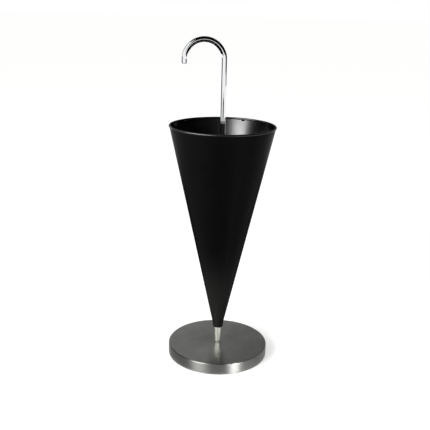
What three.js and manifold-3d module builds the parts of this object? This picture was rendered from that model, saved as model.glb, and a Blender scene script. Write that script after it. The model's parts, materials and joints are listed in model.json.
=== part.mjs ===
// Umbrella stand shaped like a closed umbrella.
// A weighted round base carries a turned tip, a black sheet-steel cone that holds the umbrellas,
// and a chromed crook that screws onto the same stud as the cone.
// Millimetres, +Z up. The origin is on the floor, on the axis of the stand.
import * as THREE from 'three';
import { mergeVertices } from 'three/addons/utils/BufferGeometryUtils.js';
import Module from 'manifold-3d';

const wasm = await Module();
wasm.setup();

// Base cover, pressed from stainless sheet
const coverDiameter = 245;
const coverHeight = 27;
const coverWall = 1;
const coverEdgeRadius = 2.5;
const dishDiameter = 72; // the clamped tip pulls the sheet down into a shallow dish
const dishDepth = 0.6;
const dishSeatMargin = 4; // flat ring left round the tip at the bottom of the dish

// Base weight, cast in concrete
const weightGap = 0.3; // between the weight and the cover
const pocketDiameter = 42; // room for the bolt head and a socket wrench, from below
const pocketDepth = 12;
const pocketChamfer = 1;

// Rubber feet, stuck under the weight
const footCount = 4;
const footDiameter = 22;
const footThickness = 3;
const footTaper = 1;
const footEdge = 0.6;
const footInset = 11; // from the edge of the weight to the edge of a foot
const footProud = 1; // how far the feet stand below the cover's skirt

// One M8 thread is used throughout
const threadDiameter = 8;
const threadClearance = 0.2; // between a stud and the tapped or clearance hole round it
const holeClearance = 0.5; // between the bolt and the sheet and concrete it passes through
const threadChamfer = 0.8;
const tappingRunout = 1.5; // hole left beyond the end of a screw
const hexAcrossFlats = 13;
const hexSides = 6;
const hexChamfer = 0.7;

// Base bolt and its washers
const boltHeadHeight = 5.3;
const boltEngagement = 12; // thread in the tip
const clampWasherDiameter = 30;
const clampWasherThickness = 2;
const springWasherDiameter = 14.2;
const springWasherThickness = 2;
const springWasherSplit = 1.6;

// Turned tip
const tipHeight = 42;
const tipFootDiameter = 16;
const tipFootRadius = 3;
const studEngagement = 10; // thread in the top of the tip

// End socket, turned and welded into the narrow end of the cone
const jointDiameter = 23.6; // where the tip and the socket meet
const edgeBreak = 0.5; // on the edges that meet there
const socketHeight = 17;
const socketFloor = 5;
const spigotHeight = 9.5;
const spigotGap = 0.3;

// Cone, rolled from sheet steel
const coneSmallDiameter = 27;
const coneMouthDiameter = 245.6;
const coneHeight = 486;
const coneWall = 0.8;

// Hoop of round bar, tacked to the mouth of the cone
const hoopBar = 5;
const hoopGap = 0.3; // from the bar and its tacks to the sheet
const tackCount = 5;
const tackLength = 8;
const tackHeight = 5.2;
const tackThickness = 4;
const tackOffset = 1.4; // from the cone's inner face to the middle of a tack
const tackDrop = 0.2; // from the cone's top edge down to the middle of a tack
const firstTackAngle = THREE.MathUtils.degToRad(62);

// Seal, washer and nut inside the socket
const sealThickness = 2;
const washerDiameter = 16;
const washerThickness = 1.6;
const nutRoom = 1; // round the washer and the nut, in the socket
const nutHeight = 6.5;

// Crook handle, bent from round tube
const tubeDiameter = 12.7;
const tubeWall = 1;
const straightLength = 640.5;
const crookRadius = 45; // to the middle of the tube
const crookDrop = 7.5;

// Threaded bush in the lower end of the handle, plug in its free end
const insertGap = 0.2; // between the tube and what is pushed into it
const bushLength = 20;
const bushEngagement = 15; // stud in the bush
const plugDepth = 7;
const plugHead = 1.2;
const plugCrown = 0.8;

// Cuts run this far past the faces that they go through
const cutOverrun = 1;

// How finely round faces are divided
const fineFacets = 72;
const roundFacets = 48;
const turnedFacets = 32;
const smallFacets = 20;

// Levels, from the floor up
const weightBottomZ = footThickness;
const coverBottomZ = footProud;
const coverTopZ = coverBottomZ + coverHeight;
const coverUndersideZ = coverTopZ - coverWall;
const tipSeatZ = coverTopZ - dishDepth;
const pocketRoofZ = weightBottomZ + pocketDepth;
const springWasherTopZ = pocketRoofZ - clampWasherThickness;
const boltHeadTopZ = springWasherTopZ - springWasherThickness;
const boltEndZ = tipSeatZ + boltEngagement;
const jointZ = tipSeatZ + tipHeight;
const studBottomZ = jointZ - studEngagement;
const shoulderZ = jointZ + socketHeight;
const coneTopZ = shoulderZ + coneHeight;
const sealBottomZ = jointZ + socketFloor;
const washerBottomZ = sealBottomZ + sealThickness;
const nutBottomZ = washerBottomZ + washerThickness;
const nutTopZ = nutBottomZ + nutHeight;
const springLineZ = nutTopZ + straightLength;

// Radii shared by pieces that meet
const threadRadius = threadDiameter / 2;
const tappedRadius = threadRadius + threadClearance;
const boltHoleRadius = threadRadius + holeClearance;
const dishFlatRadius = tipFootDiameter / 2 + dishSeatMargin;
const hexCornerRadius = hexAcrossFlats / 2 / Math.cos(Math.PI / hexSides);
const socketBoreRadius = Math.max(washerDiameter / 2, hexCornerRadius) + nutRoom;
const tubeBoreRadius = tubeDiameter / 2 - tubeWall;
const insertRadius = tubeBoreRadius - insertGap;
const weightRadius = coverDiameter / 2 - coverWall - weightGap;
const weightChamfer = coverEdgeRadius; // clears the rounded edge of the cover

// The cone leans out by the same amount per unit of height all the way up
const coneSlope = (coneMouthDiameter - coneSmallDiameter) / 2 / coneHeight;
const coneWallAcross = coneWall * Math.hypot(1, coneSlope); // the wall measured level
const coneOuterRadius = (z) => coneSmallDiameter / 2 + coneSlope * (z - shoulderZ);
const coneInnerRadius = (z) => coneOuterRadius(z) - coneWallAcross;

// Finishes
const finish = (color, roughness, metalness) =>
  new THREE.MeshStandardMaterial({ color, roughness, metalness });
const brushedSteel = finish(0x8d8e8c, 0.36, 1);
const blackCoat = finish(0x0e0e0f, 0.5, 0);
const chrome = finish(0xe4e6e8, 0.06, 1);
const nickel = finish(0xd6d5cb, 0.16, 1);
const zincSteel = finish(0xaeb2b4, 0.42, 1);
const concrete = finish(0x97938a, 0.95, 0);
const rubber = finish(0x1a1a1b, 0.9, 0);

const stand = new THREE.Group();

function addPiece(name, geometry, material) {
  const mesh = new THREE.Mesh(geometry, material);
  mesh.name = name;
  stand.add(mesh);
  return mesh;
}

// Points along an arc in the (radius, height) plane, ends included
function arc(centreR, centreZ, radius, fromTurn, toTurn, steps) {
  return Array.from({ length: steps + 1 }, (_, i) => {
    const angle = 2 * Math.PI * (fromTurn + ((toTurn - fromTurn) * i) / steps);
    return [centreR + radius * Math.cos(angle), centreZ + radius * Math.sin(angle)];
  });
}

// A solid of revolution about Z. The outline is given as [radius, height] pairs, anticlockwise.
function turned(outline, facets) {
  const points = outline.map(([r, z]) => new THREE.Vector2(r, z));
  const startsOnAxis = points[0].x === 0;
  if (!startsOnAxis) points.push(points[0].clone());
  return new THREE.LatheGeometry(points, facets).rotateX(Math.PI / 2);
}

// A flat ring
const ring = (outerR, innerR, bottomZ, topZ, facets) =>
  turned([[outerR, bottomZ], [outerR, topZ], [innerR, topZ], [innerR, bottomZ]], facets);

// The hole that a drill leaves between its mouth and its end, with the cone of the drill's point
// past the end. It runs on out of the mouth by the overrun.
function drilled(radius, mouthZ, endZ) {
  const way = Math.sign(endZ - mouthZ);
  const outline = [
    [0, mouthZ - way * cutOverrun],
    [radius, mouthZ - way * cutOverrun],
    [radius, endZ],
    [0, endZ + (way * radius) / 2],
  ];
  return turned(way > 0 ? outline : outline.reverse(), smallFacets);
}

// A closed mesh as a solid that can be joined and cut, and back again
function solidFrom(geometry) {
  const plain = geometry.clone();
  plain.deleteAttribute('normal');
  plain.deleteAttribute('uv');
  const merged = mergeVertices(plain);
  return new wasm.Manifold(new wasm.Mesh({
    numProp: 3,
    vertProperties: merged.attributes.position.array,
    triVerts: new Uint32Array(merged.index.array),
  }));
}

function geometryFrom(solid) {
  const mesh = solid.getMesh();
  const geometry = new THREE.BufferGeometry();
  geometry.setAttribute('position', new THREE.BufferAttribute(mesh.vertProperties, 3));
  geometry.setIndex(new THREE.BufferAttribute(mesh.triVerts, 1));
  geometry.computeVertexNormals();
  return geometry;
}

// A hexagon whose corners are rounded off at the ends by a turned chamfer
function hexBody(bottomZ, height, chamferBottom, chamferTop) {
  const flatRadius = hexAcrossFlats / 2;
  const topZ = bottomZ + height;
  const prism = new THREE.CylinderGeometry(hexCornerRadius, hexCornerRadius, height, hexSides)
    .rotateX(Math.PI / 2)
    .translate(0, 0, bottomZ + height / 2);
  const envelope = turned([
    [0, bottomZ],
    [chamferBottom ? flatRadius : hexCornerRadius, bottomZ],
    [hexCornerRadius, bottomZ + (chamferBottom ? hexChamfer : 0)],
    [hexCornerRadius, topZ - (chamferTop ? hexChamfer : 0)],
    [chamferTop ? flatRadius : hexCornerRadius, topZ],
    [0, topZ],
  ], turnedFacets);
  return solidFrom(prism).intersect(solidFrom(envelope));
}

function buildCover() {
  const outerR = coverDiameter / 2;
  const cornerR = outerR - coverEdgeRadius;
  const cornerZ = coverTopZ - coverEdgeRadius;
  const innerEdge = coverEdgeRadius - coverWall;
  const dishSteps = 3;
  const edgeSteps = 3;
  const dishR = dishDiameter / 2;
  // The dish falls in a smooth wave from the flat of the cover to the seat of the tip
  const dish = Array.from({ length: dishSteps + 1 }, (_, i) => {
    const share = i / dishSteps;
    const fall = dishDepth * (1 - Math.cos(Math.PI * share)) / 2;
    return [dishR + (dishFlatRadius - dishR) * share, fall];
  });
  const outline = [
    [outerR, coverBottomZ],
    ...arc(cornerR, cornerZ, coverEdgeRadius, 0, 0.25, edgeSteps),
    ...dish.map(([r, fall]) => [r, coverTopZ - fall]),
    [boltHoleRadius, tipSeatZ],
    [boltHoleRadius, tipSeatZ - coverWall],
    ...dish.reverse().map(([r, fall]) => [r, coverUndersideZ - fall]),
    ...arc(cornerR, cornerZ, innerEdge, 0.25, 0, edgeSteps),
    [outerR - coverWall, coverBottomZ],
  ];
  addPiece('base_cover', turned(outline, fineFacets), brushedSteel);
}

function buildWeight() {
  const topZ = coverUndersideZ - weightGap;
  const recessR = dishDiameter / 2 + weightGap;
  const pocketR = pocketDiameter / 2;
  addPiece('base_weight', turned([
    [pocketR + pocketChamfer, weightBottomZ],
    [weightRadius - weightChamfer, weightBottomZ],
    [weightRadius, weightBottomZ + weightChamfer],
    [weightRadius, topZ - weightChamfer],
    [weightRadius - weightChamfer, topZ],
    [recessR, topZ],
    [recessR, tipSeatZ - coverWall],
    [boltHoleRadius, tipSeatZ - coverWall],
    [boltHoleRadius, pocketRoofZ],
    [pocketR, pocketRoofZ],
    [pocketR, weightBottomZ + pocketChamfer],
  ], roundFacets), concrete);
}

function buildFeet() {
  const footR = footDiameter / 2;
  const reach = weightRadius - weightChamfer - footInset - footR;
  for (let i = 0; i < footCount; i += 1) {
    const angle = (2 * Math.PI * (i + 0.5)) / footCount;
    const foot = addPiece(`foot_${i + 1}`, turned([
      [0, 0],
      [footR - footTaper - footEdge, 0],
      [footR - footTaper, footEdge],
      [footR, footThickness],
      [0, footThickness],
    ], smallFacets), rubber);
    foot.position.set(reach * Math.cos(angle), reach * Math.sin(angle), 0);
  }
}

function buildBaseFixing() {
  addPiece('clamp_washer',
    ring(clampWasherDiameter / 2, tappedRadius, springWasherTopZ, pocketRoofZ, turnedFacets), zincSteel);

  // The spring washer is a ring with a gap sawn through it
  const outerR = springWasherDiameter / 2;
  const halfGap = springWasherSplit / 2;
  const outerStart = Math.asin(halfGap / outerR);
  const innerStart = Math.asin(halfGap / tappedRadius);
  const split = new THREE.Shape();
  split.absarc(0, 0, outerR, outerStart, 2 * Math.PI - outerStart, false);
  split.absarc(0, 0, tappedRadius, 2 * Math.PI - innerStart, innerStart, true);
  split.closePath();
  addPiece('spring_washer', new THREE.ExtrudeGeometry(split, {
    depth: springWasherThickness,
    bevelEnabled: false,
    curveSegments: smallFacets / 2,
  }).translate(0, 0, boltHeadTopZ), zincSteel);

  const shank = turned([
    [0, boltHeadTopZ - boltHeadHeight / 2],
    [threadRadius, boltHeadTopZ - boltHeadHeight / 2],
    [threadRadius, boltEndZ - threadChamfer],
    [threadRadius - threadChamfer, boltEndZ],
    [0, boltEndZ],
  ], smallFacets);
  const head = hexBody(boltHeadTopZ - boltHeadHeight, boltHeadHeight, true, false);
  addPiece('base_bolt', geometryFrom(head.add(solidFrom(shank))), zincSteel);
}

function buildTip() {
  const jointR = jointDiameter / 2;
  const footR = tipFootDiameter / 2;
  const footSteps = 5;
  const body = turned([
    [0, tipSeatZ],
    ...arc(footR - tipFootRadius, tipSeatZ + tipFootRadius, tipFootRadius, -0.25, 0, footSteps),
    [jointR, jointZ - edgeBreak],
    [jointR - edgeBreak, jointZ],
    [0, jointZ],
  ], turnedFacets);
  const boltHole = drilled(tappedRadius, tipSeatZ, boltEndZ + tappingRunout);
  const studHole = drilled(tappedRadius, jointZ, studBottomZ - tappingRunout);
  const tip = solidFrom(body).subtract(solidFrom(boltHole)).subtract(solidFrom(studHole));
  addPiece('tip', geometryFrom(tip), nickel);
}

function buildSocket() {
  const jointR = jointDiameter / 2;
  const spigotTopZ = shoulderZ + spigotHeight;
  addPiece('end_socket', turned([
    [tappedRadius, jointZ],
    [jointR - edgeBreak, jointZ],
    [jointR, jointZ + edgeBreak],
    [coneOuterRadius(shoulderZ), shoulderZ],
    [coneInnerRadius(shoulderZ) - spigotGap, shoulderZ],
    [coneInnerRadius(spigotTopZ) - spigotGap, spigotTopZ],
    [socketBoreRadius, spigotTopZ],
    [socketBoreRadius, sealBottomZ],
    [tappedRadius, sealBottomZ],
  ], turnedFacets), blackCoat);
}

function buildCone() {
  addPiece('cone_shell', turned([
    [coneOuterRadius(shoulderZ), shoulderZ],
    [coneOuterRadius(coneTopZ), coneTopZ],
    [coneInnerRadius(coneTopZ), coneTopZ],
    [coneInnerRadius(shoulderZ), shoulderZ],
  ], fineFacets), blackCoat);
}

function buildHoop() {
  const barR = hoopBar / 2;
  const barFacets = 12;
  const tackFacets = 12;
  const hoopR = (coneOuterRadius(coneTopZ) + coneInnerRadius(coneTopZ)) / 2;
  const hoopZ = coneTopZ + hoopGap + barR;
  const bar = new THREE.TorusGeometry(hoopR, barR, barFacets, fineFacets).translate(0, 0, hoopZ);
  let hoop = solidFrom(bar);
  const bead = new THREE.SphereGeometry(1, tackFacets, tackFacets / 2)
    .scale(tackThickness / 2, tackLength / 2, tackHeight / 2)
    .translate(coneInnerRadius(coneTopZ) - tackOffset, 0, coneTopZ - tackDrop);
  for (let i = 0; i < tackCount; i += 1) {
    const turn = firstTackAngle + (2 * Math.PI * i) / tackCount;
    hoop = hoop.add(solidFrom(bead.clone().rotateZ(turn)));
  }
  // The tacks stop just short of the sheet
  const lowZ = coneTopZ - tackDrop - tackHeight;
  const sheetRoom = turned([
    [coneOuterRadius(lowZ) + hoopGap, lowZ],
    [coneOuterRadius(coneTopZ) + hoopGap, coneTopZ],
    [coneInnerRadius(coneTopZ) - hoopGap, coneTopZ],
    [coneInnerRadius(lowZ) - hoopGap, lowZ],
  ], fineFacets);
  addPiece('rim_hoop', geometryFrom(hoop.subtract(solidFrom(sheetRoom))), blackCoat);
}

function buildUprightFixing() {
  addPiece('seal_washer',
    ring(washerDiameter / 2, tappedRadius, sealBottomZ, washerBottomZ, smallFacets), rubber);
  addPiece('flat_washer',
    ring(washerDiameter / 2, tappedRadius, washerBottomZ, nutBottomZ, smallFacets), zincSteel);

  const bore = drilled(tappedRadius, nutBottomZ, nutTopZ + cutOverrun);
  const nut = hexBody(nutBottomZ, nutHeight, true, true).subtract(solidFrom(bore));
  addPiece('cone_nut', geometryFrom(nut), zincSteel);

  const studTopZ = nutTopZ + bushEngagement;
  addPiece('stud', turned([
    [0, studBottomZ],
    [threadRadius - threadChamfer, studBottomZ],
    [threadRadius, studBottomZ + threadChamfer],
    [threadRadius, studTopZ - threadChamfer],
    [threadRadius - threadChamfer, studTopZ],
    [0, studTopZ],
  ], smallFacets), zincSteel);
}

// The middle line of the crook: up, over in a half circle towards -X, and down.
// The straight runs take one step each, and the bend takes the rest.
class CrookLine extends THREE.Curve {
  constructor(bendSteps) {
    super();
    this.bendSteps = bendSteps;
  }

  getPoint(t) {
    const station = t * (this.bendSteps + 2);
    if (station <= 1) return new THREE.Vector3(0, 0, nutTopZ + straightLength * station);
    if (station >= this.bendSteps + 1) {
      const down = crookDrop * (station - this.bendSteps - 1);
      return new THREE.Vector3(-2 * crookRadius, 0, springLineZ - down);
    }
    const angle = (Math.PI * (station - 1)) / this.bendSteps;
    return new THREE.Vector3(
      crookRadius * (Math.cos(angle) - 1), 0, springLineZ + crookRadius * Math.sin(angle));
  }

  getTangent(t) {
    const station = THREE.MathUtils.clamp(t * (this.bendSteps + 2) - 1, 0, this.bendSteps);
    const angle = (Math.PI * station) / this.bendSteps;
    return new THREE.Vector3(-Math.sin(angle), 0, Math.cos(angle));
  }

  // Steps follow the stations above, not the length along the line
  getUtoTmapping(u) {
    return u;
  }
}

function buildHandle() {
  const bendSteps = 20;
  const section = new THREE.Shape().absarc(0, 0, tubeDiameter / 2, 0, 2 * Math.PI, false);
  section.holes.push(new THREE.Path().absarc(0, 0, tubeBoreRadius, 0, 2 * Math.PI, true));
  addPiece('handle_tube', new THREE.ExtrudeGeometry(section, {
    steps: bendSteps + 2,
    curveSegments: smallFacets / 2,
    extrudePath: new CrookLine(bendSteps),
  }), chrome);

  addPiece('handle_bush',
    ring(insertRadius, tappedRadius, nutTopZ, nutTopZ + bushLength, smallFacets), zincSteel);

  // The plug is pushed up into the free end, and its head covers the cut edge of the tube
  const plugSteps = 4;
  const tubeR = tubeDiameter / 2;
  const crown = Array.from({ length: plugSteps + 1 }, (_, i) => {
    const angle = (Math.PI / 2) * (i / plugSteps);
    return [tubeR * Math.sin(angle), -plugHead - plugCrown * Math.cos(angle)];
  });
  const plug = addPiece('handle_plug', turned([
    ...crown,
    [tubeR, 0],
    [insertRadius, 0],
    [insertRadius, plugDepth],
    [0, plugDepth],
  ], smallFacets), chrome);
  plug.position.set(-2 * crookRadius, 0, springLineZ - crookDrop);
}

buildCover();
buildWeight();
buildFeet();
buildBaseFixing();
buildTip();
buildSocket();
buildCone();
buildHoop();
buildUprightFixing();
buildHandle();

export default stand;
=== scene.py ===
# Umbrella stand: an open black cone on a turned tip and a weighted steel base, with a chromed
# crook handle. Blender 4.5. The frame is the CAD model's: metres, +Z up, floor at z = 0.
import json
import math

import bmesh
import bpy
from mathutils import Matrix, Vector

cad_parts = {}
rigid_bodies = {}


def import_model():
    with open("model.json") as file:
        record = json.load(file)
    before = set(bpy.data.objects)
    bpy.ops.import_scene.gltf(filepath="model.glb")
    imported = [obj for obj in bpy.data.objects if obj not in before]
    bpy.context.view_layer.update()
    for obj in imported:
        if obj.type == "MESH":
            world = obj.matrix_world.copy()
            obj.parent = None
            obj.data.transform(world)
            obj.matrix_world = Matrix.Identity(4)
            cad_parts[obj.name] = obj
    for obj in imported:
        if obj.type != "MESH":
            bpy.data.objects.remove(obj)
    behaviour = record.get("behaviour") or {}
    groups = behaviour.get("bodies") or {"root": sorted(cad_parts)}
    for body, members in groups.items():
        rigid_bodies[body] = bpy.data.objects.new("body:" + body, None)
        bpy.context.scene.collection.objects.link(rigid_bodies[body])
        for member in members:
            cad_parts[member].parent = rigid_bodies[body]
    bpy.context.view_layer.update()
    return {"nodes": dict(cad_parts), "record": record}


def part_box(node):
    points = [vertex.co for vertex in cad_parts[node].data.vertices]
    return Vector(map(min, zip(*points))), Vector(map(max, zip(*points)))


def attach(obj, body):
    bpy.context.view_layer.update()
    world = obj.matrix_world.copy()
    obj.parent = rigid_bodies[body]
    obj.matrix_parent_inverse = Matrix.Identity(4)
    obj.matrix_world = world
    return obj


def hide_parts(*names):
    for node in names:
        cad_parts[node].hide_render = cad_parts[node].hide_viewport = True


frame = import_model()
print("stage 1: frame loaded,", len(frame["nodes"]), "nodes")

mm = 0.001  # outlines are drawn in millimetres and scaled once, when a piece is finished
sharpAngle = math.radians(28)  # edges that turn more than this stay crisp
mergeDistance = 1e-4  # millimetres; corners closer than this are one
fullTurn = 360  # degrees
steelBody = "root"  # nothing moves, so every piece rides on the one body


# lowest and highest corner of a CAD node, in millimetres
def boxMm(node):
    low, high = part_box(node)
    return low / mm, high / mm


# sRGB hex to the linear colour that Blender's sockets take
def colour(hexCode):
    parts = [int(hexCode[i:i + 2], 16) / 255 for i in (1, 3, 5)]
    return tuple(c / 12.92 if c <= 0.04045 else ((c + 0.055) / 1.055) ** 2.4 for c in parts) + (1,)


# texture scale at which one feature of the pattern is this many millimetres wide
def scaleFor(sizeMm):
    return 1 / (sizeMm * mm)


# one node with its settings, plain input values and incoming links
def addNode(tree, kind, settings=None, values=None, links=None):
    node = tree.nodes.new(kind)
    for name, value in (settings or {}).items():
        setattr(node, name, value)
    for name, value in (values or {}).items():
        node.inputs[name].default_value = value
    for name, source in (links or {}).items():
        tree.links.new(source, node.inputs[name])
    return node


# a fresh material with its shader and output; the values are the shader's own plain sockets
def newMaterial(name, values):
    material = bpy.data.materials.new(name)
    material.use_nodes = True
    tree = material.node_tree
    tree.nodes.clear()
    shader = addNode(tree, "ShaderNodeBsdfPrincipled", values=values)
    addNode(tree, "ShaderNodeOutputMaterial", links={"Surface": shader.outputs["BSDF"]})
    return material, tree, shader


# a wire in the XZ plane from (radius, height, rounding) corners, rounded and spun round Z
def spunOutline(corners, steps, roundSegments, closed=True):
    bm = bmesh.new()
    verts = [bm.verts.new((radius, 0, height)) for radius, height, _ in corners]
    pairs = list(zip(verts, verts[1:]))
    if closed:
        pairs.append((verts[-1], verts[0]))
    for pair in pairs:
        bm.edges.new(pair)
    for vert, (_, _, rounding) in zip(verts, corners):
        if rounding:
            bmesh.ops.bevel(bm, geom=[vert], offset=rounding, offset_type="OFFSET",
                            segments=roundSegments, profile=0.5, affect="VERTICES",
                            clamp_overlap=False, material=-1)
    bmesh.ops.spin(bm, geom=bm.verts[:] + bm.edges[:], cent=(0, 0, 0), axis=(0, 0, 1),
                   angle=math.tau, steps=steps, use_merge=True)
    return bm


# closes the mesh, scales it to metres and makes it a piece of the stand
def finishPiece(name, bm, material, node):
    bmesh.ops.remove_doubles(bm, verts=bm.verts, dist=mergeDistance)
    bmesh.ops.recalc_face_normals(bm, faces=bm.faces)
    bmesh.ops.scale(bm, vec=(mm, mm, mm), verts=bm.verts)
    for face in bm.faces:
        face.smooth = True
    mesh = bpy.data.meshes.new(name)
    bm.to_mesh(mesh)
    bm.free()
    mesh.set_sharp_from_angle(angle=sharpAngle)
    mesh.materials.append(material)
    piece = bpy.data.objects.new(name, mesh)
    bpy.context.scene.collection.objects.link(piece)
    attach(piece, steelBody)
    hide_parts(node)
    return piece


# Materials

noiseLow, noiseHigh = 0.3, 0.7  # nearly all of a noise pattern lies between these
acrossGrain = 0.25  # a quarter turn, so that lights stretch across the grain


# Stainless steel sheet, brushed round the axis while it turns: rings on the top and level lines
# round the side, so lights stretch across the grain into soft upright bands.
def brushedStainless(name, look):
    material, tree, shader = newMaterial(name, {
        "Metallic": 1, "Anisotropic": look["stretch"], "Anisotropic Rotation": acrossGrain})
    place = addNode(tree, "ShaderNodeTexCoord").outputs["Object"]
    parts = addNode(tree, "ShaderNodeSeparateXYZ", links={"Vector": place}).outputs
    level = addNode(tree, "ShaderNodeCombineXYZ", links={"X": parts["X"], "Y": parts["Y"]})
    radius = addNode(tree, "ShaderNodeVectorMath", {"operation": "LENGTH"},
                     links={0: level.outputs[0]}).outputs["Value"]
    heading = addNode(tree, "ShaderNodeVectorMath", {"operation": "NORMALIZE"},
                      links={0: level.outputs[0]}).outputs["Vector"]
    around = addNode(tree, "ShaderNodeVectorMath", {"operation": "SCALE"},
                     {"Scale": look["grainsPerTurn"] / math.tau}, {0: heading}).outputs["Vector"]
    across = addNode(tree, "ShaderNodeMath", {"operation": "SUBTRACT"},
                     links={0: radius, 1: parts["Z"]}).outputs[0]
    lines = addNode(tree, "ShaderNodeMath", {"operation": "MULTIPLY"},
                    {1: scaleFor(look["grainPitch"])}, {0: across}).outputs[0]
    lifted = addNode(tree, "ShaderNodeCombineXYZ", links={"Z": lines}).outputs[0]
    ringPlace = addNode(tree, "ShaderNodeVectorMath", {"operation": "ADD"},
                        links={0: around, 1: lifted}).outputs["Vector"]
    grain = addNode(tree, "ShaderNodeTexNoise",
                    values={"Scale": 1, "Detail": 4, "Roughness": 0.65},
                    links={"Vector": ringPlace}).outputs["Fac"]
    smudge = addNode(tree, "ShaderNodeTexNoise",
                     values={"Scale": scaleFor(look["smudgeSize"]), "Detail": 2},
                     links={"Vector": place}).outputs["Fac"]
    smears = addNode(tree, "ShaderNodeMath", {"operation": "MULTIPLY"},
                     {1: 1 - look["grainShare"]}, {0: smudge}).outputs[0]
    wear = addNode(tree, "ShaderNodeMath", {"operation": "MULTIPLY_ADD"},
                   {1: look["grainShare"]}, {0: grain, 2: smears}).outputs[0]
    shade = addNode(tree, "ShaderNodeMix", {"data_type": "RGBA"},
                    {6: colour(look["dark"]), 7: colour(look["light"])}, {0: wear})
    rough = addNode(tree, "ShaderNodeMapRange",
                    values={"From Min": noiseLow, "From Max": noiseHigh,
                            "To Min": look["roughLow"], "To Max": look["roughHigh"]},
                    links={"Value": wear}).outputs[0]
    bump = addNode(tree, "ShaderNodeBump", values={"Strength": 0.25, "Distance": 0.02 * mm},
                   links={"Height": grain}).outputs[0]
    turn = addNode(tree, "ShaderNodeTangent", {"direction_type": "RADIAL", "axis": "Z"}).outputs[0]
    tree.links.new(shade.outputs[2], shader.inputs["Base Color"])
    tree.links.new(rough, shader.inputs["Roughness"])
    tree.links.new(bump, shader.inputs["Normal"])
    tree.links.new(turn, shader.inputs["Tangent"])
    return material


# Black powder coat on steel, sprayed on and baked. Outside it is a deep matt one; inside and on the hoop
# it is thinner and flows out to a satin, with a faint orange peel that softens lights. Both are
# coloured lighter towards the bottom.
def blackPowderCoat(name, look):
    material, tree, shader = newMaterial(name, {
        "Metallic": 0, "IOR": 1.5, "Specular IOR Level": look["gloss"]})
    place = addNode(tree, "ShaderNodeTexCoord").outputs["Object"]
    peel = addNode(tree, "ShaderNodeTexNoise",
                   values={"Scale": scaleFor(look["peelSize"]), "Detail": 2},
                   links={"Vector": place}).outputs["Fac"]
    cloud = addNode(tree, "ShaderNodeTexNoise",
                    values={"Scale": scaleFor(look["cloudSize"]), "Detail": 3},
                    links={"Vector": place}).outputs["Fac"]
    cloudTone = addNode(tree, "ShaderNodeMix", {"data_type": "RGBA"},
                    {6: colour(look["dark"]), 7: colour(look["light"])}, {0: cloud})
    height = addNode(tree, "ShaderNodeSeparateXYZ", links={"Vector": place}).outputs["Z"]
    # coloured lighter towards the bottom, fading in from the higher height down to the lower one
    lowerTone = addNode(tree, "ShaderNodeMapRange", {"interpolation_type": "SMOOTHERSTEP"},
                    {"From Min": look["lowerToneTop"] * mm, "From Max": look["lowerToneBottom"] * mm},
                    {"Value": height}).outputs[0]
    shade = addNode(tree, "ShaderNodeMix", {"data_type": "RGBA"},
                    {7: colour(look["lowerTone"])}, {0: lowerTone, 6: cloudTone.outputs[2]})
    rough = addNode(tree, "ShaderNodeMapRange",
                    values={"From Min": noiseLow, "From Max": noiseHigh,
                            "To Min": look["roughLow"], "To Max": look["roughHigh"]},
                    links={"Value": cloud}).outputs[0]
    bump = addNode(tree, "ShaderNodeBump", values={"Strength": 0.35, "Distance": 0.03 * mm},
                   links={"Height": peel}).outputs[0]
    tree.links.new(shade.outputs[2], shader.inputs["Base Color"])
    tree.links.new(rough, shader.inputs["Roughness"])
    tree.links.new(bump, shader.inputs["Normal"])
    return material


# Bright chrome plate over polished steel tube: a cool mirror, with the slight haze that
# polishing and hands leave.
def brightChrome():
    look = {
        "dark": "#eceef0", "light": "#f6f7f8",
        "hazeSize": 18, "hazeLow": 0.35, "hazeHigh": 0.75, "waveSize": 35,
        "roughLow": 0.035, "roughHigh": 0.085,
    }
    material, tree, shader = newMaterial("brightChrome", {"Metallic": 1})
    place = addNode(tree, "ShaderNodeTexCoord").outputs["Object"]
    haze = addNode(tree, "ShaderNodeTexNoise",
                   values={"Scale": scaleFor(look["hazeSize"]), "Detail": 5, "Roughness": 0.6},
                   links={"Vector": place}).outputs["Fac"]
    wave = addNode(tree, "ShaderNodeTexNoise", values={"Scale": scaleFor(look["waveSize"])},
                   links={"Vector": place}).outputs["Fac"]
    shade = addNode(tree, "ShaderNodeMix", {"data_type": "RGBA"},
                    {6: colour(look["dark"]), 7: colour(look["light"])}, {0: haze})
    rough = addNode(tree, "ShaderNodeMapRange",
                    values={"From Min": look["hazeLow"], "From Max": look["hazeHigh"],
                            "To Min": look["roughLow"], "To Max": look["roughHigh"]},
                    links={"Value": haze}).outputs[0]
    bump = addNode(tree, "ShaderNodeBump", values={"Strength": 0.2, "Distance": 0.1 * mm},
                   links={"Height": wave}).outputs[0]
    tree.links.new(shade.outputs[2], shader.inputs["Base Color"])
    tree.links.new(rough, shader.inputs["Roughness"])
    tree.links.new(bump, shader.inputs["Normal"])
    return material


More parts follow.
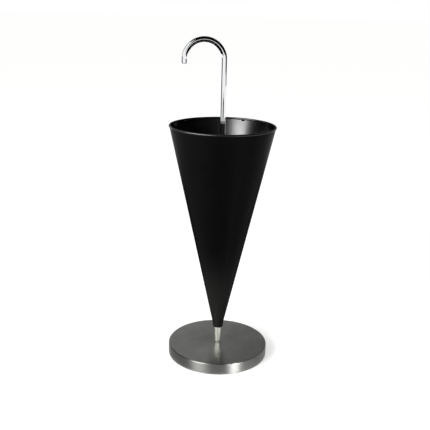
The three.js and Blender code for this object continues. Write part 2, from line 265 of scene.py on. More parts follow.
# Satin nickel plate over a turned steel tip: warm, with the lathe's fine rings still in it.
def satinNickel():
    look = {
        "dark": "#bcbdb5", "light": "#cccdc4",
        "ringPitch": 0.7,  # the tool marks are 0.1 mm apart, drawn coarser so that they show
        "ringLength": 100 / 3,  # a mark changes over this many millimetres of its ring
        "roughLow": 0.48, "roughHigh": 0.56,
    }
    material, tree, shader = newMaterial("satinNickel", {
        "Metallic": 1, "Anisotropic": 0.2, "Anisotropic Rotation": acrossGrain})
    place = addNode(tree, "ShaderNodeTexCoord").outputs["Object"]
    along, apart = scaleFor(look["ringLength"]), scaleFor(look["ringPitch"])
    squeezed = addNode(tree, "ShaderNodeMapping", values={"Scale": (along, along, apart)},
                       links={"Vector": place}).outputs[0]
    rings = addNode(tree, "ShaderNodeTexNoise", values={"Scale": 1, "Detail": 3},
                    links={"Vector": squeezed}).outputs["Fac"]
    shade = addNode(tree, "ShaderNodeMix", {"data_type": "RGBA"},
                    {6: colour(look["dark"]), 7: colour(look["light"])}, {0: rings})
    rough = addNode(tree, "ShaderNodeMapRange",
                    values={"From Min": noiseLow, "From Max": noiseHigh,
                            "To Min": look["roughLow"], "To Max": look["roughHigh"]},
                    links={"Value": rings}).outputs[0]
    bump = addNode(tree, "ShaderNodeBump", values={"Strength": 0.3, "Distance": 0.02 * mm},
                   links={"Height": rings}).outputs[0]
    turn = addNode(tree, "ShaderNodeTangent", {"direction_type": "RADIAL", "axis": "Z"}).outputs[0]
    tree.links.new(shade.outputs[2], shader.inputs["Base Color"])
    tree.links.new(rough, shader.inputs["Roughness"])
    tree.links.new(bump, shader.inputs["Normal"])
    tree.links.new(turn, shader.inputs["Tangent"])
    return material


# Bright zinc plate on cold-headed steel: bluish grey, cloudy where the plating tank was uneven.
def brightZinc():
    look = {
        "cool": "#a9b0b6", "warm": "#bdb9a8",
        "cloudSize": 7, "tintLow": 0.42, "tintHigh": 0.68, "roughLow": 0.3, "roughHigh": 0.46,
    }
    material, tree, shader = newMaterial("brightZinc", {"Metallic": 1})
    place = addNode(tree, "ShaderNodeTexCoord").outputs["Object"]
    cloud = addNode(tree, "ShaderNodeTexNoise",
                    values={"Scale": scaleFor(look["cloudSize"]), "Detail": 5, "Roughness": 0.6},
                    links={"Vector": place}).outputs["Fac"]
    tint = addNode(tree, "ShaderNodeMapRange",
                   values={"From Min": look["tintLow"], "From Max": look["tintHigh"]},
                   links={"Value": cloud}).outputs[0]
    shade = addNode(tree, "ShaderNodeMix", {"data_type": "RGBA"},
                    {6: colour(look["cool"]), 7: colour(look["warm"])}, {0: tint})
    rough = addNode(tree, "ShaderNodeMapRange",
                    values={"From Min": noiseLow, "From Max": noiseHigh,
                            "To Min": look["roughLow"], "To Max": look["roughHigh"]},
                    links={"Value": cloud}).outputs[0]
    tree.links.new(shade.outputs[2], shader.inputs["Base Color"])
    tree.links.new(rough, shader.inputs["Roughness"])
    return material


# Concrete cast in a steel mould: smooth grey paste with sand in it and small air holes, painted darker as
# shade.
def castConcrete():
    look = {
        "paste": "#8f8b83", "pale": "#a7a298", "hole": "#57534d",
        "patchSize": 30, "sandSize": 1.2, "sandHeight": 0.15,
        "holeSpacing": 9, "holeInside": 0.08, "holeOutside": 0.14,  # its edge, as shares of the spacing
    }
    material, tree, shader = newMaterial("castConcrete", {"Metallic": 0, "IOR": 1.5})
    place = addNode(tree, "ShaderNodeTexCoord").outputs["Object"]
    patch = addNode(tree, "ShaderNodeTexNoise",
                    values={"Scale": scaleFor(look["patchSize"]), "Detail": 6, "Roughness": 0.6},
                    links={"Vector": place}).outputs["Fac"]
    sand = addNode(tree, "ShaderNodeTexNoise",
                   values={"Scale": scaleFor(look["sandSize"]), "Detail": 3},
                   links={"Vector": place}).outputs["Fac"]
    cells = addNode(tree, "ShaderNodeTexVoronoi", values={"Scale": scaleFor(look["holeSpacing"])},
                    links={"Vector": place}).outputs["Distance"]
    hole = addNode(tree, "ShaderNodeMapRange", {"interpolation_type": "SMOOTHSTEP"},
                   {"From Min": look["holeInside"], "From Max": look["holeOutside"]},
                   {"Value": cells}).outputs[0]
    skin = addNode(tree, "ShaderNodeMix", {"data_type": "RGBA"},
                   {6: colour(look["paste"]), 7: colour(look["pale"])}, {0: patch}).outputs[2]
    # the air holes are coloured darker: painted shade inside them
    shade = addNode(tree, "ShaderNodeMix", {"data_type": "RGBA"},
                    {6: colour(look["hole"])}, {0: hole, 7: skin}).outputs[2]
    rough = addNode(tree, "ShaderNodeMapRange", values={"To Min": 0.75, "To Max": 0.95},
                    links={"Value": sand}).outputs[0]
    height = addNode(tree, "ShaderNodeMath", {"operation": "MULTIPLY_ADD"},
                     {1: look["sandHeight"]}, {0: sand, 2: hole}).outputs[0]
    bump = addNode(tree, "ShaderNodeBump", values={"Strength": 0.8, "Distance": 0.4 * mm},
                   links={"Height": height}).outputs[0]
    tree.links.new(shade, shader.inputs["Base Color"])
    tree.links.new(rough, shader.inputs["Roughness"])
    tree.links.new(bump, shader.inputs["Normal"])
    return material


# Moulded rubber: near black and matt, slightly dusty where it has rubbed.
def mouldedRubber():
    look = {"black": "#1b1b1c", "dusty": "#2b2b2a", "dustSize": 6, "grainSize": 0.5}
    material, tree, shader = newMaterial("mouldedRubber", {"Metallic": 0, "IOR": 1.52})
    place = addNode(tree, "ShaderNodeTexCoord").outputs["Object"]
    dust = addNode(tree, "ShaderNodeTexNoise",
                   values={"Scale": scaleFor(look["dustSize"]), "Detail": 4},
                   links={"Vector": place}).outputs["Fac"]
    grain = addNode(tree, "ShaderNodeTexNoise",
                    values={"Scale": scaleFor(look["grainSize"]), "Detail": 2},
                    links={"Vector": place}).outputs["Fac"]
    shade = addNode(tree, "ShaderNodeMix", {"data_type": "RGBA"},
                    {6: colour(look["black"]), 7: colour(look["dusty"])}, {0: dust}).outputs[2]
    rough = addNode(tree, "ShaderNodeMapRange", values={"To Min": 0.7, "To Max": 0.9},
                    links={"Value": dust}).outputs[0]
    bump = addNode(tree, "ShaderNodeBump", values={"Strength": 0.4, "Distance": 0.05 * mm},
                   links={"Height": grain}).outputs[0]
    tree.links.new(shade, shader.inputs["Base Color"])
    tree.links.new(rough, shader.inputs["Roughness"])
    tree.links.new(bump, shader.inputs["Normal"])
    return material


materials = {
    # the real grain lines are 0.1 mm apart, drawn coarser so that they show
    "brushed_steel": brushedStainless("ringBrushedStainless", {
        "dark": "#868680", "light": "#d8d9d6", "grainPitch": 0.9, "grainsPerTurn": 9,
        "grainShare": 0.6, "smudgeSize": 32, "stretch": 0.6, "roughLow": 0.29, "roughHigh": 0.37}),
    # the side is a copy of the same steel, coloured darker as painted shade, and brushed coarser
    "shadedSideSteel": brushedStainless("lineBrushedShadedStainless", {
        "dark": "#868684", "light": "#aeaeab", "grainPitch": 0.9, "grainsPerTurn": 9,
        "grainShare": 0.6, "smudgeSize": 45, "stretch": 0.9, "roughLow": 0.38, "roughHigh": 0.46}),
    "black_coat": blackPowderCoat("mattBlackCoat", {
        "dark": "#040405", "light": "#080809", "peelSize": 1.6, "cloudSize": 60,
        # lighter towards the bottom, from 320 mm down to 80 mm
        "lowerTone": "#1d1d1c", "lowerToneTop": 320, "lowerToneBottom": 80,
        "gloss": 0.06, "roughLow": 0.38, "roughHigh": 0.46}),
    "satinBlack": blackPowderCoat("satinBlackCoat", {
        "dark": "#040405", "light": "#080809", "peelSize": 2.2, "cloudSize": 60,
        "lowerTone": "#121212", "lowerToneTop": 320, "lowerToneBottom": 80,
        "gloss": 0.8, "roughLow": 0.27, "roughHigh": 0.34}),
    "chrome": brightChrome(),
    "nickel": satinNickel(),
    "zinc_steel": brightZinc(),
    "concrete": castConcrete(),
    "rubber": mouldedRubber(),
}
print("stage 2: materials made,", len(materials))


# Base

# The cover is one pressed sheet: rounded edge, straight side, and a shallow dish where the
# clamped tip pulls the top down.
coverShape = {
    "wall": 1, "edgeRadius": 2.5, "skirtRound": 0.3,
    "dishRadius": 36, "dishDepth": 0.6, "dishBlend": 10, "seatRadius": 12, "seatBlend": 6,
    "holeRadius": 4.5, "spinSteps": 288, "roundSegments": 8,
}

coverLow, coverHigh = boxMm("base_cover")
cadCover = {"radius": coverHigh.x, "bottom": coverLow.z, "top": coverHigh.z}


def buildCover(shape, cad):
    seat = cad["top"] - shape["dishDepth"]
    inner = cad["radius"] - shape["wall"]
    under = cad["top"] - shape["wall"]
    bm = spunOutline([
        (cad["radius"], cad["bottom"], shape["skirtRound"]),
        (cad["radius"], cad["top"], shape["edgeRadius"]),
        (shape["dishRadius"], cad["top"], shape["dishBlend"]),
        (shape["seatRadius"], seat, shape["seatBlend"]),
        (shape["holeRadius"], seat, 0),
        (shape["holeRadius"], seat - shape["wall"], 0),
        (shape["seatRadius"], seat - shape["wall"], shape["seatBlend"]),
        (shape["dishRadius"], under, shape["dishBlend"]),
        (inner, under, shape["edgeRadius"] - shape["wall"]),
        (inner, cad["bottom"], shape["skirtRound"]),
    ], shape["spinSteps"], shape["roundSegments"])
    cover = finishPiece("baseCover", bm, materials["brushed_steel"], "base_cover")
    cover.data.materials.append(materials["shadedSideSteel"])
    # faces round the side take the darker copy: painted shade on the side
    for face in cover.data.polygons:
        if math.hypot(face.center.x, face.center.y) > (cad["radius"] - shape["edgeRadius"]) * mm:
            face.material_index = 1


# The weight is cast concrete with a pocket below for the bolt head.
weightShape = {
    "chamfer": 2.5, "soften": 0.5, "pocketRadius": 21, "pocketDepth": 12, "pocketChamfer": 1,
    "recessRadius": 36.3, "recessDepth": 0.3, "holeRadius": 4.5,
    "spinSteps": 160, "roundSegments": 3,
}


def buildWeight(shape):
    low, high = boxMm("base_weight")
    radius, soft, cut = high.x, shape["soften"], shape["chamfer"]
    roof = low.z + shape["pocketDepth"]
    recess = high.z - shape["recessDepth"]
    bm = spunOutline([
        (shape["pocketRadius"] + shape["pocketChamfer"], low.z, 0),
        (radius - cut, low.z, soft),
        (radius, low.z + cut, soft),
        (radius, high.z - cut, soft),
        (radius - cut, high.z, soft),
        (shape["recessRadius"], high.z, 0),
        (shape["recessRadius"], recess, 0),
        (shape["holeRadius"], recess, 0),
        (shape["holeRadius"], roof, 0),
        (shape["pocketRadius"], roof, soft),
        (shape["pocketRadius"], low.z + shape["pocketChamfer"], 0),
    ], shape["spinSteps"], shape["roundSegments"])
    finishPiece("baseWeight", bm, materials["concrete"], "base_weight")


# Four moulded feet, slightly tapered.
footShape = {
    "taper": 1, "edge": 0.6, "soften": 0.3, "count": 4, "spinSteps": 64, "roundSegments": 3,
}


def buildFeet(shape):
    for number in range(1, shape["count"] + 1):
        node = f"foot_{number}"
        low, high = boxMm(node)
        middle = (low + high) / 2
        radius = (high.x - low.x) / 2
        bm = spunOutline([
            (0, low.z, 0),
            (radius - shape["taper"] - shape["edge"], low.z, shape["soften"]),
            (radius - shape["taper"], low.z + shape["edge"], shape["soften"]),
            (radius, high.z, 0),
            (0, high.z, 0),
        ], shape["spinSteps"], shape["roundSegments"], closed=False)
        bmesh.ops.translate(bm, verts=bm.verts, vec=(middle.x, middle.y, 0))
        finishPiece(f"rubberFoot{number}", bm, materials["rubber"], node)


buildCover(coverShape, cadCover)
buildWeight(weightShape)
buildFeet(footShape)
print("stage 3: base built")


# Tip and cone

# The tip is turned from bar, tapped at both ends, and widens from its rounded foot to the socket.
tipShape = {
    "footRadius": 7.8, "footRound": 3, "edgeBreak": 0.5, "tappedRadius": 4.2,
    "boltHoleDepth": 13.5, "studHoleDepth": 11.5, "drillPoint": 2.1,
    "spinSteps": 128, "roundSegments": 6,
}


def buildTip(shape):
    low, high = boxMm("tip")
    bore = shape["tappedRadius"]
    boltEnd = low.z + shape["boltHoleDepth"]
    studEnd = high.z - shape["studHoleDepth"]
    bm = spunOutline([
        (0, boltEnd + shape["drillPoint"], 0),
        (bore, boltEnd, 0),
        (bore, low.z, 0),
        (shape["footRadius"], low.z, shape["footRound"]),
        (high.x, high.z, shape["edgeBreak"]),
        (bore, high.z, 0),
        (bore, studEnd, 0),
        (0, studEnd - shape["drillPoint"], 0),
    ], shape["spinSteps"], shape["roundSegments"], closed=False)
    finishPiece("turnedTip", bm, materials["nickel"], "tip")


# The socket is a turned collar whose spigot is welded inside the small end of the cone.
socketShape = {
    "jointRadius": 11.8, "edgeBreak": 0.5, "spigotHeight": 9.5, "spigotGap": 0.3,
    "floor": 5, "boreRadius": 9, "tappedRadius": 4.2, "spinSteps": 128, "roundSegments": 4,
}

# The cone is rolled sheet, welded down the back and ground almost flush. Its top edge is welded
# to the hoop, so it reaches up into the bar.
coneShape = {
    "wall": 0.8, "edgeRound": 0.3, "weldReach": 0.7, "spinSteps": 288, "roundSegments": 4,
    "seamHalfWidth": 1.8, "seamHeight": 0.2, "cutHalfWidth": 7.2,
}

coneLow, coneHigh = boxMm("cone_shell")
coneShape["smallRadius"] = boxMm("end_socket")[1].x
coneShape["slope"] = (coneHigh.x - coneShape["smallRadius"]) / (coneHigh.z - coneLow.z)
coneShape["level"] = coneShape["wall"] * math.hypot(1, coneShape["slope"])  # wall measured level


def buildSocket(shape, cone):
    low, high = boxMm("end_socket")
    shoulder = high.z - shape["spigotHeight"]
    inside = high.x - cone["level"] - shape["spigotGap"]
    bm = spunOutline([
        (shape["tappedRadius"], low.z, 0),
        (shape["jointRadius"], low.z, shape["edgeBreak"]),
        (high.x, shoulder, 0),
        (inside, shoulder, 0),
        (inside + cone["slope"] * shape["spigotHeight"], high.z, shape["edgeBreak"]),
        (shape["boreRadius"], high.z, shape["edgeBreak"]),
        (shape["boreRadius"], low.z + shape["floor"], 0),
        (shape["tappedRadius"], low.z + shape["floor"], 0),
    ], shape["spinSteps"], shape["roundSegments"])
    finishPiece("endSocket", bm, materials["black_coat"], "end_socket")


def buildCone(shape):
    small, level, soft = shape["smallRadius"], shape["level"], shape["edgeRound"]
    top = coneHigh.z + shape["weldReach"]
    wide = coneHigh.x + shape["slope"] * shape["weldReach"]
    bm = spunOutline([
        (small, coneLow.z, 0),
        (wide, top, soft),
        (wide - level, top, soft),
        (small - level, coneLow.z, 0),
    ], shape["spinSteps"], shape["roundSegments"])
    # the seam: three cuts down the back, and the sheet between them swells by a fifth of a mm
    half = shape["seamHalfWidth"]
    for offset in (-half, 0, half):
        back = [face for face in bm.faces
                if face.calc_center_median().y > 0
                and abs(face.calc_center_median().x) < shape["cutHalfWidth"]]
        geom = list({vert for face in back for vert in face.verts})
        geom += list({edge for face in back for edge in face.edges}) + back
        bmesh.ops.bisect_plane(bm, geom=geom, dist=mergeDistance,
                               plane_co=(offset, 0, 0), plane_no=(1, 0, 0))
    for vert in bm.verts:
        if vert.co.y > 0 and abs(vert.co.x) < half:
            radius = math.hypot(vert.co.x, vert.co.y)
            middle = coneHigh.x - level / 2 - shape["slope"] * (coneHigh.z - vert.co.z)
            swell = shape["seamHeight"] * (1 - abs(vert.co.x) / half)
            vert.co.y += swell if radius > middle else -swell
    cone = finishPiece("coneShell", bm, materials["black_coat"], "cone_shell")
    cone.data.materials.append(materials["satinBlack"])
    for face in cone.data.polygons:
        if face.normal.z > 0:  # the inside looks up, the outside down
            face.material_index = 1


# The hoop is round bar on the mouth of the cone, held by five weld tacks on the inside.
hoopShape = {
    "barRadius": 2.5, "barSegments": 28, "spinSteps": 288,
    "tackCount": 5, "firstTackTurn": 62, "tackLength": 8, "tackHeight": 5.2, "tackThickness": 4,
    "tackOffset": 1.4, "tackDrop": 0.2, "rippleCount": 5, "rippleHeight": 0.12,
    "beadSides": 20, "beadRings": 24,
}


def buildHoop(shape, cone):
    high = boxMm("rim_hoop")[1]
    bar = shape["barRadius"]
    bm = bmesh.new()
    ring = bmesh.ops.create_circle(bm, segments=shape["barSegments"], radius=bar,
                                   matrix=Matrix.Rotation(math.pi / 2, 4, "X"))
    bmesh.ops.translate(bm, verts=ring["verts"], vec=(high.x - bar, 0, high.z - bar))
    bmesh.ops.spin(bm, geom=bm.verts[:] + bm.edges[:], cent=(0, 0, 0), axis=(0, 0, 1),
                   angle=math.tau, steps=shape["spinSteps"], use_merge=True)
    finishPiece("rimHoop", bm, materials["satinBlack"], "rim_hoop")

    # each tack is a short bead with the ripples that the weld pool leaves
    bm = bmesh.new()
    for number in range(shape["tackCount"]):
        heading = shape["firstTackTurn"] + fullTurn * number / shape["tackCount"]
        turn = Matrix.Rotation(math.radians(heading), 4, "Z")
        bead = bmesh.ops.create_uvsphere(bm, u_segments=shape["beadSides"], v_segments=shape["beadRings"],
                                         radius=1, matrix=Matrix.Rotation(math.pi / 2, 4, "X"))["verts"]
        for vert in bead:
            ripple = 1 + shape["rippleHeight"] * math.cos(vert.co.y * math.pi * shape["rippleCount"])
            vert.co.x *= ripple
            vert.co.z *= ripple
        biggest = 1 + shape["rippleHeight"]
        bmesh.ops.scale(bm, verts=bead, vec=(
            shape["tackThickness"] / 2 / biggest, shape["tackLength"] / 2,
            shape["tackHeight"] / 2 / biggest))
        bmesh.ops.translate(bm, verts=bead, vec=(
            coneHigh.x - cone["level"] - shape["tackOffset"], 0, coneHigh.z - shape["tackDrop"]))
        bmesh.ops.transform(bm, matrix=turn, verts=bead)
    finishPiece("weldTacks", bm, materials["satinBlack"], "rim_hoop")


buildTip(tipShape)
buildSocket(socketShape, coneShape)
buildCone(coneShape)
buildHoop(hoopShape, coneShape)
print("stage 4: tip, cone and hoop built")


# Handle

# One length of round tube: straight up, over in a half circle and a little way down.
handleShape = {
    "wall": 1, "crookRadius": 45, "crookDrop": 7.5, "ringSegments": 96, "bendSteps": 160,
}


def tubeSkin(bm, radius, start, spring, end, shape):
    ring = bmesh.ops.create_circle(bm, segments=shape["ringSegments"], radius=radius)
    bmesh.ops.translate(bm, verts=ring["verts"], vec=(0, 0, start))
    first = list({edge for vert in ring["verts"] for edge in vert.link_edges})
    up = bmesh.ops.extrude_edge_only(bm, edges=first)["geom"]
    bmesh.ops.translate(bm, verts=[v for v in up if isinstance(v, bmesh.types.BMVert)],
                        vec=(0, 0, spring - start))
    loop = [e for e in up if isinstance(e, bmesh.types.BMEdge)]
    bend = bmesh.ops.spin(bm, geom=loop, cent=(-shape["crookRadius"], 0, spring), axis=(0, -1, 0),
                          angle=math.pi, steps=shape["bendSteps"])["geom_last"]
    loop = [e for e in bend if isinstance(e, bmesh.types.BMEdge)]
    down = bmesh.ops.extrude_edge_only(bm, edges=loop)["geom"]
    bmesh.ops.translate(bm, verts=[v for v in down if isinstance(v, bmesh.types.BMVert)],
                        vec=(0, 0, end - spring))
    return first, [e for e in down if isinstance(e, bmesh.types.BMEdge)]


def buildHandle(shape):
    low, high = boxMm("handle_tube")
    tubeRadius = high.x
    spring = high.z - shape["crookRadius"] - tubeRadius
    end = spring - shape["crookDrop"]
    bm = bmesh.new()
    outerFoot, outerEnd = tubeSkin(bm, tubeRadius, low.z, spring, end, shape)
    innerFoot, innerEnd = tubeSkin(bm, tubeRadius - shape["wall"], low.z, spring, end, shape)
    bmesh.ops.bridge_loops(bm, edges=outerFoot + innerFoot)
    bmesh.ops.bridge_loops(bm, edges=outerEnd + innerEnd)
    finishPiece("handleTube", bm, materials["chrome"], "handle_tube")


# The plug's domed head covers the cut end of the tube.
plugShape = {
    "insertRadius": 5.15, "head": 1.2, "crown": 0.8, "edge": 0.5, "spinSteps": 64, "roundSegments": 5,
    "domeReach": 0.6, "domeRound": 0.25,  # shares of the head's radius
    "domeLift": 0.1,  # share of the crown
}


def buildPlug(shape):
    low, high = boxMm("handle_plug")
    middle = (low + high) / 2
    radius = (high.x - low.x) / 2
    shoulder = low.z + shape["head"] + shape["crown"]
    bm = spunOutline([
        (0, low.z, 0),
        (radius * shape["domeReach"], low.z + shape["crown"] * shape["domeLift"],
         radius * shape["domeRound"]),
        (radius, low.z + shape["crown"], shape["edge"]),
        (radius, shoulder, 0),
        (shape["insertRadius"], shoulder, 0),
        (shape["insertRadius"], high.z, shape["edge"]),
        (0, high.z, 0),
    ], shape["spinSteps"], shape["roundSegments"], closed=False)
    bmesh.ops.translate(bm, verts=bm.verts, vec=(middle.x, middle.y, 0))
    finishPiece("handlePlug", bm, materials["chrome"], "handle_plug")


buildHandle(handleShape)
buildPlug(plugShape)
print("stage 5: handle built")


# The small fixings keep their CAD shape and get their finish.
for part in frame["record"]["subparts"]:
    node = frame["nodes"][part["node"]]
    if not node.hide_render:
        node.data.materials.clear()
        node.data.materials.append(materials[part["material_slot"]])
print("stage 6: fixings dressed")


# Stage, lights and camera

# Light Path: 1 for what the camera, metal and glass see, 0 for what lights the object
def seenDirectly(tree):
    path = addNode(tree, "ShaderNodeLightPath").outputs
    some = addNode(tree, "ShaderNodeMath", {"operation": "MAXIMUM"},
                   links={0: path["Is Camera Ray"], 1: path["Is Glossy Ray"]}).outputs[0]
    return addNode(tree, "ShaderNodeMath", {"operation": "MAXIMUM"},
                   links={0: some, 1: path["Is Transmission Ray"]}).outputs[0]


floorLook = {
    "radius": 40, "segments": 96, "colour": "#ececeb",
    "nearGlow": 0.25, "farGlow": 0.36,  # the lamps' light fades with distance, so the glow grows
    "nearReach": 0, "farReach": 2.5,
}


def buildFloor(look):
    bm = bmesh.new()
    bmesh.ops.create_circle(bm, segments=look["segments"], radius=look["radius"], cap_ends=True)
    mesh = bpy.data.meshes.new("paleFloor")
    bm.to_mesh(mesh)
    bm.free()
    floor = bpy.data.objects.new("paleFloor", mesh)
    bpy.context.scene.collection.objects.link(floor)
    material = bpy.data.materials.new("paleFloor")
    material.use_nodes = True
    tree = material.node_tree
    tree.nodes.clear()
    paint = addNode(tree, "ShaderNodeBsdfDiffuse", values={"Color": colour(look["colour"])})
    place = addNode(tree, "ShaderNodeTexCoord").outputs["Object"]
    reach = addNode(tree, "ShaderNodeVectorMath", {"operation": "LENGTH"},
                    links={0: place}).outputs["Value"]
    amount = addNode(tree, "ShaderNodeMapRange",
                     values={"From Min": look["nearReach"], "From Max": look["farReach"],
                             "To Min": look["nearGlow"], "To Max": look["farGlow"]},
                     links={"Value": reach})
    strength = addNode(tree, "ShaderNodeMath", {"operation": "MULTIPLY"},
                       links={0: seenDirectly(tree), 1: amount.outputs[0]})
    glow = addNode(tree, "ShaderNodeEmission", links={"Strength": strength.outputs[0]})
    both = addNode(tree, "ShaderNodeAddShader", links={0: paint.outputs[0], 1: glow.outputs[0]})
    addNode(tree, "ShaderNodeOutputMaterial", links={"Surface": both.outputs[0]})
    mesh.materials.append(material)


worldLook = {"fill": 0.75}


def buildWorld(look):
    world = bpy.data.worlds.new("studio")
    bpy.context.scene.world = world
    world.use_nodes = True
    tree = world.node_tree
    tree.nodes.clear()
    strength = addNode(tree, "ShaderNodeMapRange", values={"To Min": look["fill"], "To Max": 1},
                       links={"Value": seenDirectly(tree)})
    light = addNode(tree, "ShaderNodeBackground", values={"Color": (1, 1, 1, 1)},
                    links={"Strength": strength.outputs[0]})
    addNode(tree, "ShaderNodeOutputWorld", links={"Surface": light.outputs[0]})


# an object's rotation that turns its -Z towards the target
def facing(place, target):
    return (Vector(target) - Vector(place)).to_track_quat("-Z", "Y")


# Softboxes on the camera's side. Each may be flagged off some pieces, or be there for one piece
# only: chrome shows only the room and the cards, and the low box on the right lights the base and
# the tip.
chromed = ["handleTube", "handlePlug"]
softboxes = {
    "softboxLeft": {
        "turn": -46, "distance": 2.2, "height": 1.35, "aim": 0.4, "size": (1.25, 1.0), "power": 58,
        "notOn": chromed},
    "softboxRight": {
        "turn": 34, "distance": 2.2, "height": 0.1, "aim": 0.1, "size": (0.72, 0.16), "power": 35,
        "notOn": chromed + ["coneShell", "endSocket", "rimHoop", "weldTacks"]},
    "hoopBox": {
        "turn": -72, "distance": 2.2, "height": 1.35, "aim": 0.5, "size": (0.7, 1.0), "power": 36,
        "onlyOn": ["rimHoop"]},
    "tipBox": {
        "turn": -6, "distance": 1.2, "height": 0.25, "aim": 0.05, "size": (0.24, 0.2), "power": 2.2,
        "onlyOn": ["turnedTip"]},
}


# lets a lamp or a card light only these pieces, or all but these
def linkLight(source, names, state):
    if names:
        group = bpy.data.collections.new(source.name + "Linked")
        for number, name in enumerate(names):
            group.objects.link(bpy.data.objects[name])
            group.collection_objects[number].light_linking.link_state = state
        source.light_linking.receiver_collection = group


def buildSoftboxes(boxes):
    for name, box in boxes.items():
        light = bpy.data.lights.new(name, "AREA")
        light.shape = "RECTANGLE"
        light.size, light.size_y = box["size"]
        light.energy = box["power"]
        lamp = bpy.data.objects.new(name, light)
        turn = math.radians(box["turn"])
        lamp.location = (
            box["distance"] * math.sin(turn), -box["distance"] * math.cos(turn), box["height"])
        lamp.rotation_mode = "QUATERNION"
        lamp.rotation_quaternion = facing(lamp.location, (0, 0, box["aim"]))
        lamp.visible_camera = False
        bpy.context.scene.collection.objects.link(lamp)
        linkLight(lamp, box.get("onlyOn"), "INCLUDE")
        linkLight(lamp, box.get("notOn"), "EXCLUDE")


# Cards that only reflections see, as a studio sets round polished metal. Each is a straight line
# from one (radius, height) to another, swept round the stand; turn 0 is the camera's side.
# A card may be lit for some pieces only, and is black to the rest.
lowCard, highCard = 0.0005, 0.001  # heights just over the floor; where two overlap, the higher shows
besideBase = 0.126  # just clear of the base and of the mouth
cardCurve = {"stepAngle": 4, "fewestSteps": 4}

flags = {
    "ceilingFlag": {
        "line": ((0.01, 2.8), (3.6, 2.8)), "turn": 0, "sweep": fullTurn, "tone": "#080808"},
    "backCeilingLeft": {
        "line": ((1.8, 2.79), (3.6, 2.79)), "turn": 180, "sweep": 50, "tone": "#9a9a9a"},
    "backCeilingRight": {
        "line": ((1.8, 2.79), (3.6, 2.79)), "turn": 130, "sweep": 50, "tone": "#8c8c8c"},
    "blackWall": {
        "line": ((3.6, 1.0), (3.6, 2.8)), "turn": -130, "sweep": 260, "tone": "#080808"},
    "shoulderPanel": {
        "line": ((3.4, 0.9), (3.4, 2.6)), "turn": -112, "sweep": 84, "tone": "#ffffff",
        "onlyOn": chromed},
    "shoulderCeiling": {
        "line": ((1.8, 2.7), (3.4, 2.6)), "turn": -112, "sweep": 84, "tone": "#ffffff",
        "onlyOn": chromed},
    "backWallLeft": {
        "line": ((3.6, 0.7), (3.6, 2.8)), "turn": 176, "sweep": 54, "tone": "#8f8f8f"},
    "backWallRight": {
        "line": ((3.6, 0.7), (3.6, 2.8)), "turn": 130, "sweep": 46, "tone": "#5e5e5e"},
    # mouthGleam and mouthShade stand just inside the mouth, seen only by the chrome: a painted reflection
    # on the shaft below the rim, bright, then grey
    "mouthGleam": {
        "line": ((0.1190, 0.569), (0.1196, 0.578)), "turn": -115, "sweep": 230, "tone": "#c2c2c2",
        "onlyOn": chromed},
    "mouthShade": {
        "line": ((0.1178, 0.563), (0.1190, 0.569)), "turn": -115, "sweep": 230, "tone": "#747474",
        "onlyOn": chromed},
    "rightWall": {
        "line": ((3.3, 0.5), (3.3, 2.79)), "turn": 62, "sweep": 63, "tone": "#787878",
        "onlyOn": ["baseCover"]},
    # nearRing, grey close round the base, is painted shade: the floor's shade there as the metal sees it
    "nearRing": {
        "line": ((besideBase, lowCard), (0.3, lowCard)), "turn": -55, "sweep": 110, "tone": "#9a9a9a"},
    "nearRight": {
        "line": ((besideBase, highCard), (0.3, highCard)), "turn": 29, "sweep": 24, "tone": "#cccccc"},
    "frontRing": {
        "line": ((0.3, lowCard), (1.8, lowCard)), "turn": -55, "sweep": 110, "tone": "#080808"},
    "wedgeRing": {
        "line": ((0.3, highCard), (1.8, highCard)), "turn": 28, "sweep": 20, "tone": "#ffffff",
        "notOn": chromed},
    "rightRing": {
        "line": ((besideBase, lowCard), (1.8, lowCard)), "turn": 55, "sweep": 70, "tone": "#b4b4b4",
        "notOn": chromed + ["turnedTip"]},
    "backRing": {
        "line": ((besideBase, lowCard), (1.8, lowCard)), "turn": 125, "sweep": 110, "tone": "#808080",
        "onlyOn": ["baseCover"]},
    "leftRing": {
        "line": ((besideBase, lowCard), (1.8, lowCard)), "turn": 235, "sweep": 70, "tone": "#a6a6a6",
        "notOn": chromed + ["turnedTip"]},
    "frontFloor": {
        "line": ((1.8, lowCard), (4.9, lowCard)), "turn": -25, "sweep": 45, "tone": "#080808"},
    "sideFloor": {
        "line": ((1.8, lowCard), (2.9, lowCard)), "turn": -65, "sweep": 40, "tone": "#080808"},
    "shoulderFloor": {
        "line": ((1.8, lowCard), (3.4, lowCard)), "turn": 20, "sweep": 85, "tone": "#f4f4f4",
        "notOn": chromed},
    "leftHorizon": {
        "line": ((3.45, 0.0), (3.45, 1.0)), "turn": -73, "sweep": 15, "tone": "#ffffff",
        "onlyOn": chromed},
    "leftStrip": {
        "line": ((3.5, 0.0), (3.5, 1.0)), "turn": -128, "sweep": 55, "tone": "#080808"},
    "rightStrip": {
        "line": ((3.5, 0.28), (3.5, 1.0)), "turn": 76, "sweep": 48, "tone": "#080808"},
    "shoulderStrip": {
        "line": ((3.4, 0.38), (3.4, 1.0)), "turn": 50, "sweep": 75, "tone": "#080808"},
}


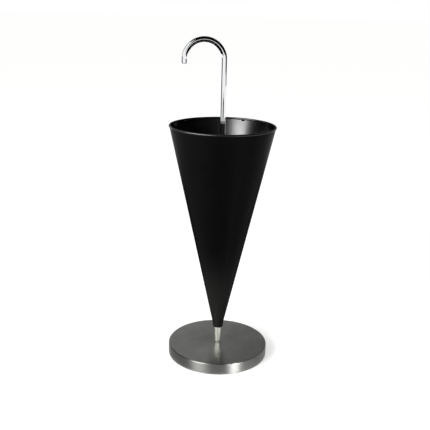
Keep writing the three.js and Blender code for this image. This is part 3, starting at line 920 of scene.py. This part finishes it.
def buildFlags(cards, curve):
    for name, card in cards.items():
        steps = max(curve["fewestSteps"], round(card["sweep"] / curve["stepAngle"]))
        bm = bmesh.new()
        line = bm.edges.new([bm.verts.new((radius, 0, height)) for radius, height in card["line"]])
        bmesh.ops.rotate(bm, verts=line.verts[:], cent=(0, 0, 0),
                         matrix=Matrix.Rotation(math.radians(card["turn"] - 90), 3, "Z"))
        bmesh.ops.spin(bm, geom=line.verts[:] + [line], cent=(0, 0, 0), axis=(0, 0, 1),
                       angle=math.radians(card["sweep"]), steps=steps,
                       use_merge=card["sweep"] == fullTurn)
        mesh = bpy.data.meshes.new(name)
        bm.to_mesh(mesh)
        bm.free()
        flag = bpy.data.objects.new(name, mesh)
        bpy.context.scene.collection.objects.link(flag)
        material = bpy.data.materials.new(name)
        material.use_nodes = True
        tree = material.node_tree
        tree.nodes.clear()
        glow = addNode(tree, "ShaderNodeEmission", values={"Color": colour(card["tone"])})
        addNode(tree, "ShaderNodeOutputMaterial", links={"Surface": glow.outputs[0]})
        mesh.materials.append(material)
        flag.visible_camera = flag.visible_diffuse = flag.visible_shadow = False
        linkLight(flag, card.get("onlyOn"), "INCLUDE")
        linkLight(flag, card.get("notOn"), "EXCLUDE")


# Camera, from the photograph's perspective. The image is 430 x 430 pixels.
view = {
    "place": (-0.1167, -1.6080, 0.8521), "turn": 3.68, "tilt": 16.96, "roll": 1.30,
    "focalPixels": 702.7, "imagePixels": 430, "sensor": 36, "clipEnd": 100,
}


def buildCamera(setup):
    lens = bpy.data.cameras.new("photoView")
    lens.sensor_width = setup["sensor"]
    lens.lens = setup["focalPixels"] / setup["imagePixels"] * setup["sensor"]
    lens.clip_end = setup["clipEnd"]
    camera = bpy.data.objects.new("photoView", lens)
    camera.matrix_world = (
        Matrix.Translation(setup["place"])
        @ Matrix.Rotation(math.radians(-setup["turn"]), 4, "Z")
        @ Matrix.Rotation(math.radians(90 - setup["tilt"]), 4, "X")
        @ Matrix.Rotation(math.radians(setup["roll"]), 4, "Z"))
    bpy.context.scene.collection.objects.link(camera)
    bpy.context.scene.camera = camera


buildFloor(floorLook)
buildWorld(worldLook)
buildSoftboxes(softboxes)
buildFlags(flags, cardCurve)
buildCamera(view)
bpy.context.scene.view_settings.view_transform = "Standard"
print("stage 7: floor, lights and camera set")
